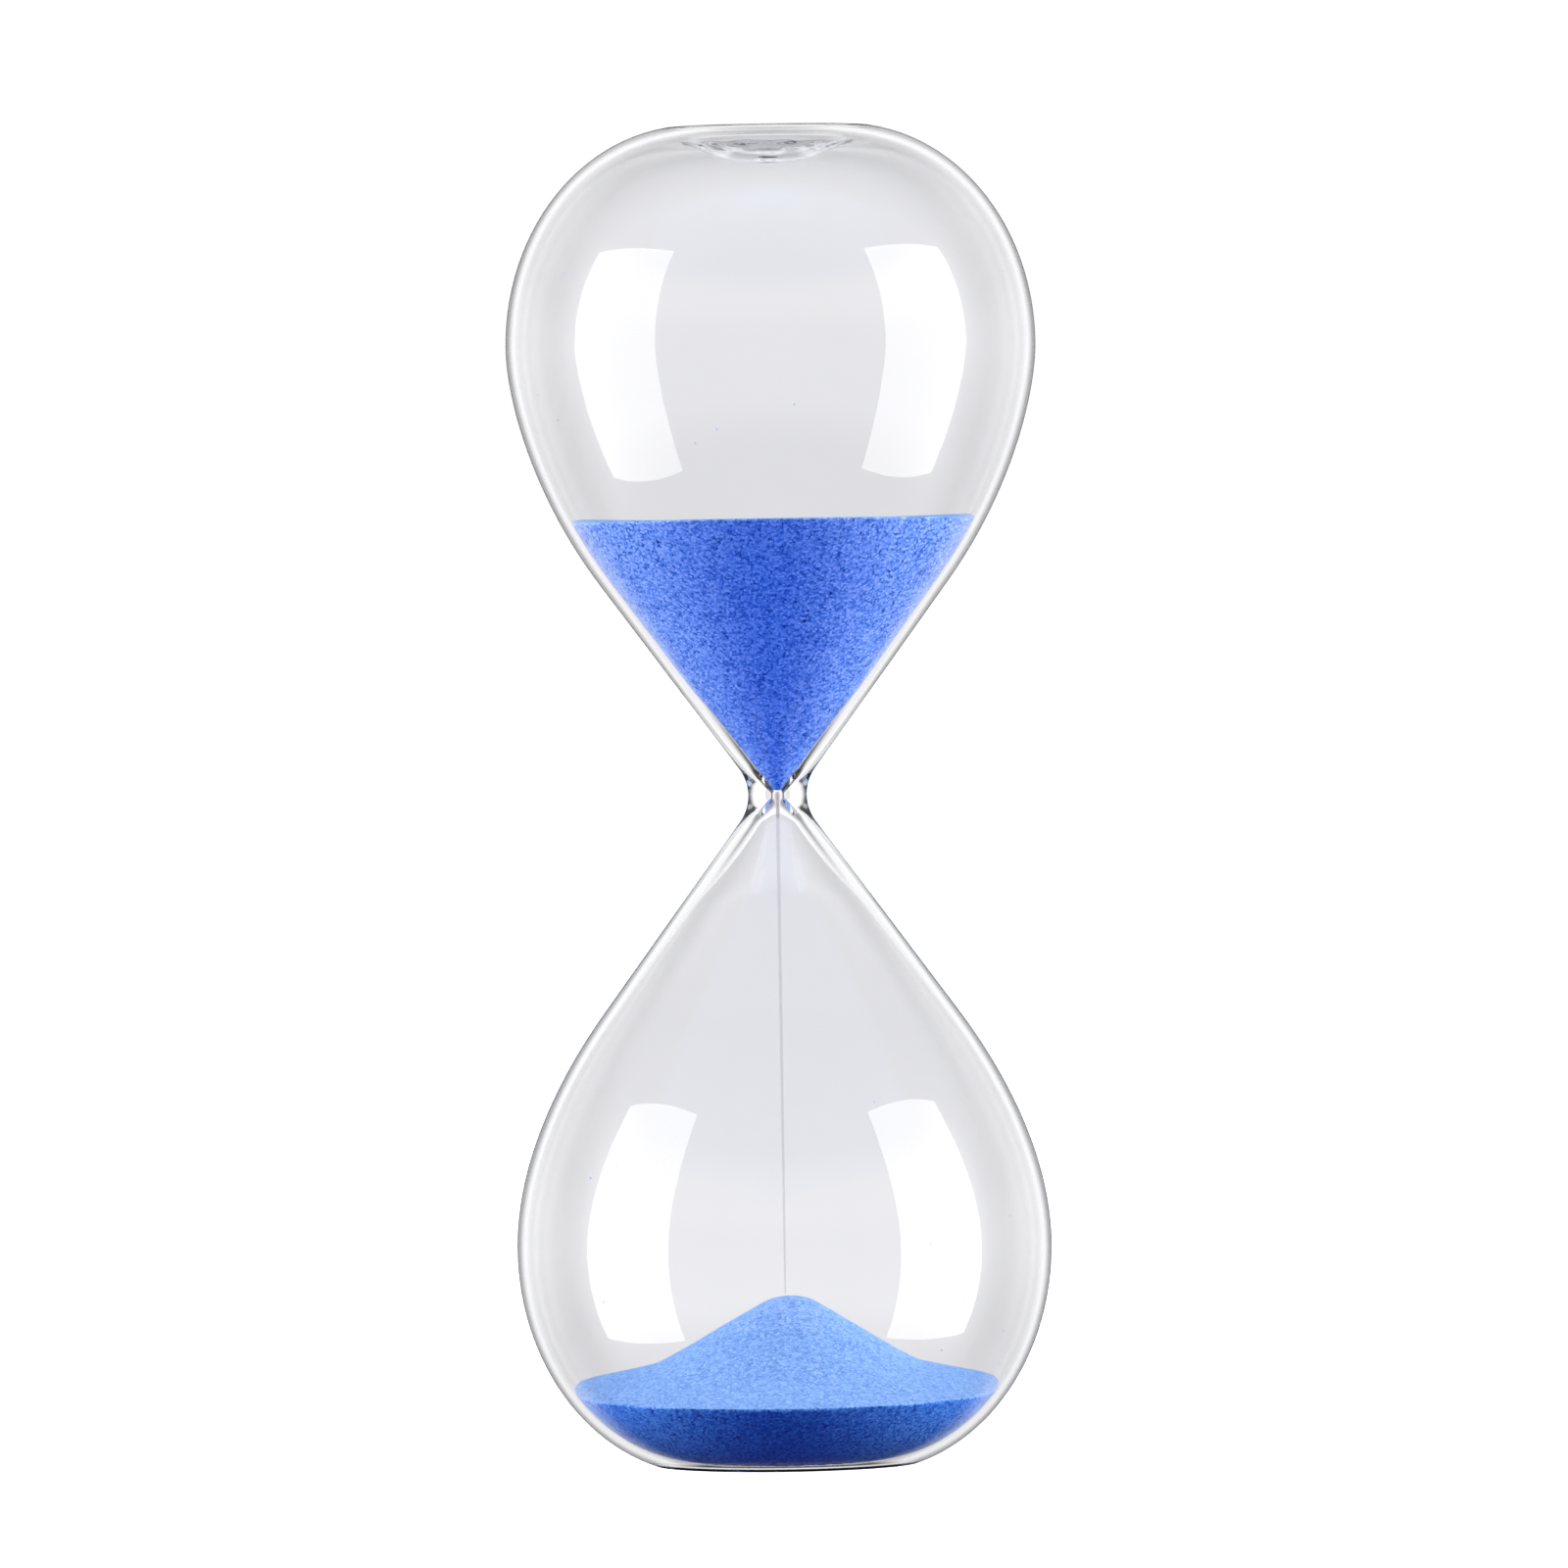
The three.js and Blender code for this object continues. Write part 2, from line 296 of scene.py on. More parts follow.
def fillet_start(bulb, glass):
    """Where the straight funnel wall runs into the neck's hollow curve, and its centre."""
    centre = Vector((glass.waist + glass.fillet, bulb.height))
    out = Vector((math.cos(bulb.cone), math.sin(bulb.cone)))
    return centre - glass.fillet * out, centre


def cone_radius(bulb, glass, height):
    """Outside radius of the straight funnel wall at a height over the bulb's own end."""
    start, _ = fillet_start(bulb, glass)
    return start.x + (start.y - height) * math.tan(bulb.cone)


def wall_line(bulb, glass, depth):
    """A line parallel to the outside at a depth below it, from the ring to the neck's curve."""
    line = []
    reach = bulb.radius - bulb.shoulder
    foot_turn = math.acos((bulb.foot - bulb.shoulder) / reach)
    rise = bulb.widest / math.sin(foot_turn)
    for i in range(SHOULDER_STEPS + 1):
        turn = foot_turn * (1 - i / SHOULDER_STEPS)
        at = Vector(
            (bulb.shoulder + reach * math.cos(turn), bulb.widest - rise * math.sin(turn))
        )
        inward = Vector((-math.cos(turn) / reach, math.sin(turn) / rise)).normalized()
        line.append(at + depth * inward)
    start, _ = fillet_start(bulb, glass)
    top = bulb.radius - bulb.drop
    lean = Vector((-math.sin(bulb.cone), math.cos(bulb.cone)))
    p0 = Vector((bulb.radius, bulb.widest))
    p3 = Vector((top, start.y - (top - start.x) / math.tan(bulb.cone)))
    p1 = p0 + Vector((0, bulb.bulge_pull))
    p2 = p3 - bulb.cone_pull * lean
    belly = bezier(p0, p1, p2, p3, BELLY_STEPS)
    for i in range(1, BELLY_STEPS + 1):
        t = i / BELLY_STEPS
        s = 1 - t
        along = (s * s * (p1 - p0) + 2 * s * t * (p2 - p1) + t * t * (p3 - p2)).normalized()
        line.append(belly[i] + depth * Vector((-along.y, along.x)))
    inward = Vector((-lean.y, lean.x))
    for i in range(1, CONE_STEPS + 1):
        line.append(p3.lerp(start, i / CONE_STEPS) + depth * inward)
    return line


def punt_line(bulb, glass, rim, rise):
    """The pushed-in middle of an end, from the axis to the standing ring."""
    edge = bulb.foot - glass.ring_width
    steps = [i / PUNT_STEPS for i in range(PUNT_STEPS + 1)]
    return [Vector((edge * t, rim + rise * (1 - t**PUNT_POWER) ** 2)) for t in steps]


def end_outside(bulb, glass):
    """Outer face of an end, with the fused mark of the filling hole and the drawn-off pip."""
    line = punt_line(bulb, glass, 0, glass.punt_depth)
    for p in line:
        p.y -= glass.seal_bead * math.exp(-(((p.x - glass.seal_radius) / BEAD_WIDTH) ** 2))
        p.y -= glass.pip_height * math.exp(-((p.x / PIP_WIDTH) ** 2))
    return line


def end_inside(bulb, glass, clearance=0.0):
    """Inner face of an end."""
    rise = glass.punt_depth + glass.end_wall - glass.wall
    return punt_line(bulb, glass, glass.wall + clearance, rise)


def rounded(line, passes):
    """The line with its corners cut, its ends kept."""
    for _ in range(passes):
        cut = [line[0]]
        for a, b in zip(line, line[1:]):
            cut += [a.lerp(b, 0.25), a.lerp(b, 0.75)]
        line = cut + [line[-1]]
    return line


def funnel_line(bulb, glass, clearance=0.0):
    """Inside of the neck, from the bulb's wall to the throat. It swells inwards on the way, so
    that the neck's glass is thick, and runs into the wall without an edge."""
    low = bulb.height - glass.funnel_height
    wide = Vector((cone_radius(bulb, glass, low) - glass.wall / math.cos(bulb.cone), low))
    narrow = Vector((glass.throat, bulb.height - glass.throat_land / 2))
    pull = FUNNEL_PULL * glass.funnel_height
    along = pull * Vector((-math.sin(bulb.cone), math.cos(bulb.cone)))
    steep = pull * Vector((math.sin(glass.funnel_start), -math.cos(glass.funnel_start)))
    line = bezier(wide, wide + along, narrow + steep, narrow, FUNNEL_STEPS)
    line.append(Vector((glass.throat, bulb.height)))
    aside = clearance / math.cos(bulb.cone)
    return rounded([p - Vector((min(aside, p.x / 2), 0)) for p in line], 1)


def neck_line(bulb, glass):
    """Outside of the neck, from the funnel wall to the waist."""
    _, centre = fillet_start(bulb, glass)
    line = []
    for i in range(1, FILLET_STEPS + 1):
        turn = bulb.cone * (1 - i / FILLET_STEPS)
        line.append(centre - glass.fillet * Vector((math.cos(turn), math.sin(turn))))
    return line


def outside_line(bulb, glass):
    """The whole outside of one half, from the axis at its end to the waist."""
    return end_outside(bulb, glass) + wall_line(bulb, glass, 0) + neck_line(bulb, glass)


def inside_line(bulb, glass):
    """The whole inside of one half, from the axis at its end to the throat."""
    funnel = funnel_line(bulb, glass)
    wall = [p for p in wall_line(bulb, glass, glass.wall) if p.y < funnel[0].y - SEAM_OVERLAP]
    return end_inside(bulb, glass) + wall + funnel


def upside_down(line):
    """A line of the upper bulb in heights over the floor, from the waist to the end."""
    return [Vector((p.x, TOTAL_HEIGHT - p.y)) for p in reversed(line)]


def both_halves(lower, upper):
    """One line from the axis at the bottom to the axis at the top."""
    return lower + upside_down(upper)[1:]


# ---------------------------------------------------------------------------------------------
# Modelling
# ---------------------------------------------------------------------------------------------


SAND_ROUND_STEPS = 96
STREAM_ROUND_STEPS = 12
CRATER_STEPS = 16
# Shares of a grain: how far the sand's face goes up and down, and how far it is drawn back so
# that no grain touches the glass.
GRAIN_HEIGHT = 0.10
GRAIN_DRAW_BACK = 0.12


def deselect_all():
    """Leaves nothing selected, so that an operator acts only on what is made next."""
    if bpy.context.object and bpy.context.object.mode != "OBJECT":
        bpy.ops.object.mode_set(mode="OBJECT")
    bpy.ops.object.select_all(action="DESELECT")


def spun(name, line, steps, hollow=False):
    """A surface of revolution about Z. hollow turns its faces towards the axis."""
    deselect_all()
    bpy.ops.mesh.primitive_plane_add(size=MM, enter_editmode=True, location=(0, 0, 0))
    bpy.ops.mesh.merge(type="CENTER")
    bpy.ops.transform.translate(value=(line[0].x, 0, line[0].y))
    for a, b in zip(line, line[1:]):
        move = {"value": (b.x - a.x, 0, b.y - a.y)}
        bpy.ops.mesh.extrude_region_move(TRANSFORM_OT_translate=move)
    bpy.ops.mesh.select_all(action="SELECT")
    bpy.ops.mesh.spin(steps=steps, angle=2 * math.pi, center=(0, 0, 0), axis=(0, 0, 1))
    bpy.ops.mesh.select_all(action="SELECT")
    bpy.ops.mesh.remove_doubles(threshold=1e-6)
    bpy.ops.mesh.normals_make_consistent(inside=hollow)
    bpy.ops.object.mode_set(mode="OBJECT")
    piece = bpy.context.object
    piece.name = piece.data.name = name
    bpy.ops.object.shade_smooth()
    return piece


def joined(name, pieces):
    """Several meshes as one."""
    deselect_all()
    for p in pieces:
        p.select_set(True)
    bpy.context.view_layer.objects.active = pieces[0]
    bpy.ops.object.join()
    piece = bpy.context.object
    piece.name = piece.data.name = name
    return piece


def grained(piece, sand):
    """Turns a smooth solid into packed grains: an even mesh with each point moved a little."""
    even = piece.modifiers.new("Even mesh", "REMESH")
    even.mode = "VOXEL"
    even.voxel_size = sand.voxel
    even.use_smooth_shade = True
    deselect_all()
    piece.select_set(True)
    bpy.context.view_layer.objects.active = piece
    bpy.ops.object.modifier_apply(modifier=even.name)
    mesh = piece.data
    normals = [v.normal.copy() for v in mesh.vertices]
    for v, normal in zip(mesh.vertices, normals):
        height = noise.noise(v.co / sand.grain)
        v.co += normal * (GRAIN_HEIGHT * height - GRAIN_DRAW_BACK) * sand.grain
    mesh.update()
    # The glass shows the sand itself, but doesn't mirror it.
    piece.visible_glossy = False


def dressed(piece, material, slot, *nodes):
    """Gives a piece its material and its body, and the solids it stands for. The slot is not
    used.
    """
    piece.data.materials.clear()
    piece.data.materials.append(material)
    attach(piece, "root")
    if nodes:
        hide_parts(*nodes)


# ---------------------------------------------------------------------------------------------
# Materials
# ---------------------------------------------------------------------------------------------


def add(tree, kind, inputs=None, **settings):
    """Adds a node. An input given as a socket is linked, and any other value is set."""
    node = tree.nodes.new(kind)
    for key, value in settings.items():
        setattr(node, key, value)
    for key, value in (inputs or {}).items():
        if isinstance(value, bpy.types.NodeSocket):
            tree.links.new(value, node.inputs[key])
        else:
            node.inputs[key].default_value = value
    return node


def new_material(name):
    """An empty node material and its tree, or the finished one of that name and no tree."""
    material = bpy.data.materials.get(name)
    if material:
        return material, None
    material = bpy.data.materials.new(name)
    material.use_nodes = True
    material.node_tree.nodes.clear()
    return material, material.node_tree


# Share of a lamp's light that passes a blown wall, red, green and blue.
WALL_PASSES = (0.96, 0.96, 0.97, 1)


def clear_glass(colours):
    """Borosilicate glass, blown and fire-polished: dead smooth, so it shows only as bright and
    dark lines where it bends the light, and as the shine of the lamps."""
    material, tree = new_material("borosilicate_glass_fire_polished")
    if tree is None:
        return material
    glass = add(
        tree,
        "ShaderNodeBsdfPrincipled",
        {
            "Base Color": colours.glass,
            "Roughness": 0.0,
            "IOR": 1.47,
            "Transmission Weight": 1.0,
        },
    )
    # Lamps and floor light the sand straight through the wall, as with real thin glass.
    path = add(tree, "ShaderNodeLightPath")
    clear = add(tree, "ShaderNodeBsdfTransparent", {"Color": WALL_PASSES})
    lamp_side = add(
        tree,
        "ShaderNodeMixShader",
        {0: path.outputs["Is Shadow Ray"], 1: glass.outputs[0], 2: clear.outputs[0]},
    )
    soft_side = add(
        tree,
        "ShaderNodeMixShader",
        {0: path.outputs["Is Diffuse Ray"], 1: lamp_side.outputs[0], 2: clear.outputs[0]},
    )
    add(tree, "ShaderNodeOutputMaterial", {"Surface": soft_side.outputs[0]})
    return material


def dyed_sand(colours, sand):
    """Fine quartz sand, dyed blue: each grain takes its own depth of dye, so the sand is flecked
    from near white to navy. Painted shade darkens the gaps between the grains, and more painted
    shade darkens the sand under the rim of the bed."""
    material, tree = new_material("quartz_sand_dyed_blue")
    if tree is None:
        return material
    where = add(tree, "ShaderNodeTexCoord").outputs["Object"]
    grains = add(
        tree,
        "ShaderNodeTexVoronoi",
        {"Vector": where, "Scale": 1.2 / sand.grain},
        feature="F1",
    )
    shade = add(tree, "ShaderNodeSeparateColor", {"Color": grains.outputs["Color"]})
    # Painted shade: a grain is drawn palest at its middle and dark in the gaps round it, where
    # shade falls between grains.
    middle = add(
        tree,
        "ShaderNodeMath",
        {0: grains.outputs["Distance"], 1: -0.6, 2: 0.42},
        operation="MULTIPLY_ADD",
    )
    # The ramp's place holds both the grain's depth of dye and the painted shade of the gaps.
    depth = add(
        tree,
        "ShaderNodeMath",
        {0: shade.outputs["Red"], 1: 0.75, 2: middle.outputs[0]},
        operation="MULTIPLY_ADD",
    )
    ramp = add(tree, "ShaderNodeValToRGB", {"Fac": depth.outputs[0]})
    stops = ramp.color_ramp.elements
    stops[0].position, stops[0].color = 0.0, colours.sand_dark
    stops[1].position, stops[1].color = 1.0, colours.sand_white
    for at, tint in (
        (0.15, colours.sand_deep),
        (0.50, colours.sand_blue),
        (0.85, colours.sand_pale),
    ):
        stop = stops.new(at)
        stop.color = tint
    # Loose grains on the heap lie in each other's light, and look more even than grains that
    # are packed against the glass with dark gaps between them.
    facing = add(tree, "ShaderNodeTexCoord").outputs["Normal"]
    upward = add(tree, "ShaderNodeSeparateXYZ", {0: facing}).outputs["Z"]
    loose = add(
        tree,
        "ShaderNodeMapRange",
        {"Value": upward, "From Min": 0.2, "From Max": 0.6},
    )
    # Painted shade: the sand under the rim of the bed, where it doesn't face up, is drawn darker
    # than the rest, as shade on the front of the bed.
    height = add(tree, "ShaderNodeSeparateXYZ", {0: where}).outputs["Z"]
    deep = add(
        tree,
        "ShaderNodeMapRange",
        {"Value": height, "From Min": sand.rim + 1.5 * MM, "From Max": sand.rim - 1 * MM},
    )
    shaded = add(
        tree,
        "ShaderNodeMath",
        {0: deep.outputs[0], 1: loose.outputs[0]},
        operation="SUBTRACT",
        use_clamp=True,
    )
    painted_shade_mix = add(
        tree,
        "ShaderNodeMix",
        {0: shaded.outputs[0], 6: ramp.outputs["Color"], 7: colours.sand_painted_shade},
        data_type="RGBA",
        blend_type="MULTIPLY",
    )
    even = add(
        tree, "ShaderNodeMath", {0: loose.outputs[0], 1: 0.5}, operation="MULTIPLY"
    )
    # The colour that goes to the surface holds the dye, the painted shade of the gaps and the
    # painted shade under the rim.
    dye = add(
        tree,
        "ShaderNodeMix",
        {0: even.outputs[0], 6: painted_shade_mix.outputs[2], 7: colours.sand_blue},
        data_type="RGBA",
    )
    bump = add(
        tree,
        "ShaderNodeBump",
        {"Strength": 0.2, "Distance": 0.2 * sand.grain, "Height": grains.outputs["Distance"]},
        invert=True,
    )
    body = add(
        tree,
        "ShaderNodeBsdfPrincipled",
        {
            "Base Color": dye.outputs[2],
            "Roughness": 0.8,
            "IOR": 1.54,
            "Specular IOR Level": 0.15,
            "Normal": bump.outputs["Normal"],
        },
    )
    add(tree, "ShaderNodeOutputMaterial", {"Surface": body.outputs[0]})
    return material


def blurred_stream(colours, top, spread):
    """Quartz grains in free fall: too fast to make out, they veil what is behind them, and the
    light caught in the throat warms the first of them."""
    material, tree = new_material("quartz_sand_in_fall")
    if tree is None:
        return material
    where = add(tree, "ShaderNodeTexCoord").outputs["Object"]
    height = add(tree, "ShaderNodeSeparateXYZ", {0: where}).outputs["Z"]
    fall = add(
        tree,
        "ShaderNodeMapRange",
        {"Value": height, "From Min": top - 1.6 * spread, "From Max": top - 0.6 * spread},
    ).outputs[0]
    tint = add(
        tree,
        "ShaderNodeMix",
        {0: fall, 6: colours.stream, 7: colours.throat},
        data_type="RGBA",
    )
    veil = add(tree, "ShaderNodeMapRange", {"Value": fall, "To Min": 0.11, "To Max": 0.7})
    body = add(
        tree,
        "ShaderNodeBsdfPrincipled",
        {"Base Color": tint.outputs[2], "Roughness": 0.9, "Alpha": veil.outputs[0]},
    )
    add(tree, "ShaderNodeOutputMaterial", {"Surface": body.outputs[0]})
    return material


# ---------------------------------------------------------------------------------------------
# Operators
# ---------------------------------------------------------------------------------------------


RIPPLE_MARGIN = 2.0 * MM
RIPPLE_RING_WIDTH = 1.2 * MM
RIPPLE_CENTRE_WIDTH = 4.0 * MM
RIPPLE_CENTRE_SHARE = 0.4
RIPPLE_LENGTH = 1.7 * MM
NOT_NECK = 40 * MM


class HOURGLASS_OT_glass(bpy.types.Operator):
    """Blow the two bulbs and the neck as one piece of glass"""

    bl_idname = "hourglass.glass"
    bl_label = "Glass vessel"

    def execute(self, context):
        scene = context.scene
        lower, upper, glass = (
            scene.hourglass_lower,
            scene.hourglass_upper,
            scene.hourglass_glass,
        )
        outside = both_halves(outside_line(lower, glass), outside_line(upper, glass))
        inside = both_halves(inside_line(lower, glass), inside_line(upper, glass))
        skin = spun("glass_skin", outside, glass.round_steps)
        self.ripple_ends(skin, glass)
        hollow = spun("glass_hollow", inside, glass.round_steps, hollow=True)
        vessel = joined("glass_vessel", [skin, hollow])
        dressed(
            vessel,
            clear_glass(scene.hourglass_colours),
            "bulb_glass",
            "lower_bulb",
            "upper_bulb",
            "neck",
            "lower_seal_disc",
            "upper_seal_disc",
        )
        return {"FINISHED"}

    def ripple_ends(self, skin, glass):
        """Makes the closed filling holes a little uneven, as glass worked in a flame is."""
        for v in skin.data.vertices:
            r = math.hypot(v.co.x, v.co.y)
            if r < glass.seal_radius + RIPPLE_MARGIN and abs(v.co.z - NECK_MIDDLE) > NOT_NECK:
                ring = math.exp(-(((r - glass.seal_radius) / RIPPLE_RING_WIDTH) ** 2))
                centre = RIPPLE_CENTRE_SHARE * math.exp(-((r / RIPPLE_CENTRE_WIDTH) ** 2))
                wave = 2 * noise.noise(v.co / RIPPLE_LENGTH)
                v.co.z += glass.ripple * max(ring, centre) * wave


class HOURGLASS_OT_upper_sand(bpy.types.Operator):
    """Fill the upper bulb's funnel with the sand that has still to run"""

    bl_idname = "hourglass.upper_sand"
    bl_label = "Upper sand"

    def execute(self, context):
        scene = context.scene
        bulb, glass, sand = scene.hourglass_upper, scene.hourglass_glass, scene.hourglass_sand
        level = TOTAL_HEIGHT - sand.upper_level
        funnel = funnel_line(bulb, glass, sand.gap)
        wall = wall_line(bulb, glass, glass.wall + sand.gap)
        side = [p for p in wall if level < p.y < funnel[0].y - SEAM_OVERLAP]
        reach = [p for p in wall if p.y <= level][-1]
        edge = reach.lerp(side[0], (level - reach.y) / (side[0].y - reach.y))
        tip = Vector((0, bulb.height - glass.throat_land / 2))
        throat = [p for p in funnel if p.y < tip.y]
        line = upside_down([edge] + side + throat + [tip])
        for i in range(CRATER_STEPS + 1):
            r = sand.crater_radius * (1 - i / CRATER_STEPS)
            dip = sand.crater_depth / 2 * (1 + math.cos(math.pi * r / sand.crater_radius))
            line.append(Vector((r, sand.upper_level - dip)))
        piece = spun("upper_sand_fill", line, SAND_ROUND_STEPS)
        grained(piece, sand)
        dressed(piece, dyed_sand(scene.hourglass_colours, sand), "blue_sand", "upper_sand")
        return {"FINISHED"}


# The tilt of the bed starts at this height, and only what lies further out than this share of
# the rim's radius follows the glass.
BED_LEVEL = 3.0 * MM
BED_SIDE = 0.6


class HOURGLASS_OT_lower_sand(bpy.types.Operator):
    """Heap the sand that has run on the older bed in the lower bulb"""

    bl_idname = "hourglass.lower_sand"
    bl_label = "Lower sand"

    def execute(self, context):
        scene = context.scene
        bulb, glass, sand = scene.hourglass_lower, scene.hourglass_glass, scene.hourglass_sand
        wall = wall_line(bulb, glass, glass.wall + sand.gap)
        side = [p for p in wall if p.y < sand.rim]
        above = wall[len(side)]
        edge = side[-1].lerp(above, (sand.rim - side[-1].y) / (above.y - side[-1].y))
        shoulder = sand.peak - sand.tip_drop
        cone_foot = shoulder - (sand.cone_radius - sand.tip_radius) * math.tan(sand.slope)
        slope = [
            edge,
            Vector((sand.cone_radius + 3 * MM, cone_foot - 0.8 * MM)),
            Vector((sand.cone_radius, cone_foot)),
            Vector((sand.tip_radius, shoulder)),
            Vector((sand.tip_radius / 2, sand.peak - sand.tip_drop / 4)),
            Vector((0, sand.peak)),
        ]
        line = end_inside(bulb, glass, sand.gap) + side + rounded(slope, 2)
        piece = spun("lower_sand_heap", line, SAND_ROUND_STEPS)
        self.settle(piece, wall, sand, edge)
        grained(piece, sand)
        dressed(piece, dyed_sand(scene.hourglass_colours, sand), "blue_sand", "lower_sand")
        return {"FINISHED"}

    def settle(self, piece, wall, sand, edge):
        """Tilts the bed along the glass and moves the peak to where the stream lands."""

        def wall_radius(z):
            for a, b in zip(wall, wall[1:]):
                if a.y <= z <= b.y:
                    return a.x + (b.x - a.x) * (z - a.y) / (b.y - a.y)
            return wall[0].x

        for v in piece.data.vertices:
            r = math.hypot(v.co.x, v.co.y)
            share = min(max((v.co.z - BED_LEVEL) / (sand.rim - BED_LEVEL), 0), 1)
            lift = share * sand.rim_tilt * v.co.y / edge.x
            low = min(v.co.z, sand.rim)
            if r > BED_SIDE * edge.x:
                grow = wall_radius(low + lift) / wall_radius(low)
                v.co.x *= grow
                v.co.y *= grow
            v.co.z += lift
            if v.co.z > sand.rim and r < edge.x:
                v.co.x += sand.peak_shift * (1 - r / edge.x) ** 2


class HOURGLASS_OT_falling_sand(bpy.types.Operator):
    """Drop the thin thread of grains from the throat to the heap"""

    bl_idname = "hourglass.falling_sand"
    bl_label = "Falling sand"

    def execute(self, context):
        scene = context.scene
        sand, colours = scene.hourglass_sand, scene.hourglass_colours
        top, bottom = NECK_MIDDLE + 0.3 * MM, sand.peak + 0.2 * MM
        spread = 2.2 * MM
        outline = (
            (0, bottom),
            (0.14 * MM, bottom),
            (0.19 * MM, top - 3 * spread),
            (0.20 * MM, top - spread),
            (0.36 * MM, top - 0.4 * spread),
            (0.40 * MM, top),
            (0, top),
        )
        line = rounded([Vector(p) for p in outline], 2)
        piece = spun("sand_stream", line, STREAM_ROUND_STEPS)
        dressed(piece, blurred_stream(colours, top, spread), "blue_sand", "falling_sand")
        return {"FINISHED"}


class HOURGLASS_OT_clinging_grains(bpy.types.Operator):
    """Stick a few stray grains to the inside of the bulbs"""

    bl_idname = "hourglass.clinging_grains"
    bl_label = "Clinging grains"

    def execute(self, context):
        scene = context.scene
        glass, sand = scene.hourglass_glass, scene.hourglass_sand
        chance = random.Random(7)
        grains = []
        for bulb, low, high, count, flip in (
            (scene.hourglass_lower, 0.15, 0.60, 12, False),
            (scene.hourglass_upper, 0.15, 0.55, 8, True),
        ):
            wall = wall_line(bulb, glass, glass.wall + 0.1 * MM)
            for _ in range(count):
                height = bulb.height * chance.uniform(low, high)
                at = next(p for p in wall if p.y >= height)
                turn = chance.uniform(0, 2 * math.pi)
                z = TOTAL_HEIGHT - at.y if flip else at.y
                deselect_all()
                bpy.ops.mesh.primitive_ico_sphere_add(
                    subdivisions=1,
                    radius=chance.uniform(0.2, 0.35) * sand.grain,
                    location=(at.x * math.cos(turn), at.x * math.sin(turn), z),
                    rotation=(turn, turn, 0),
                )
                grains.append(bpy.context.object)
        piece = joined("clinging_grains", grains)
        bpy.ops.object.transform_apply(location=True, rotation=True, scale=True)
        dressed(piece, dyed_sand(scene.hourglass_colours, sand), "blue_sand")
        return {"FINISHED"}


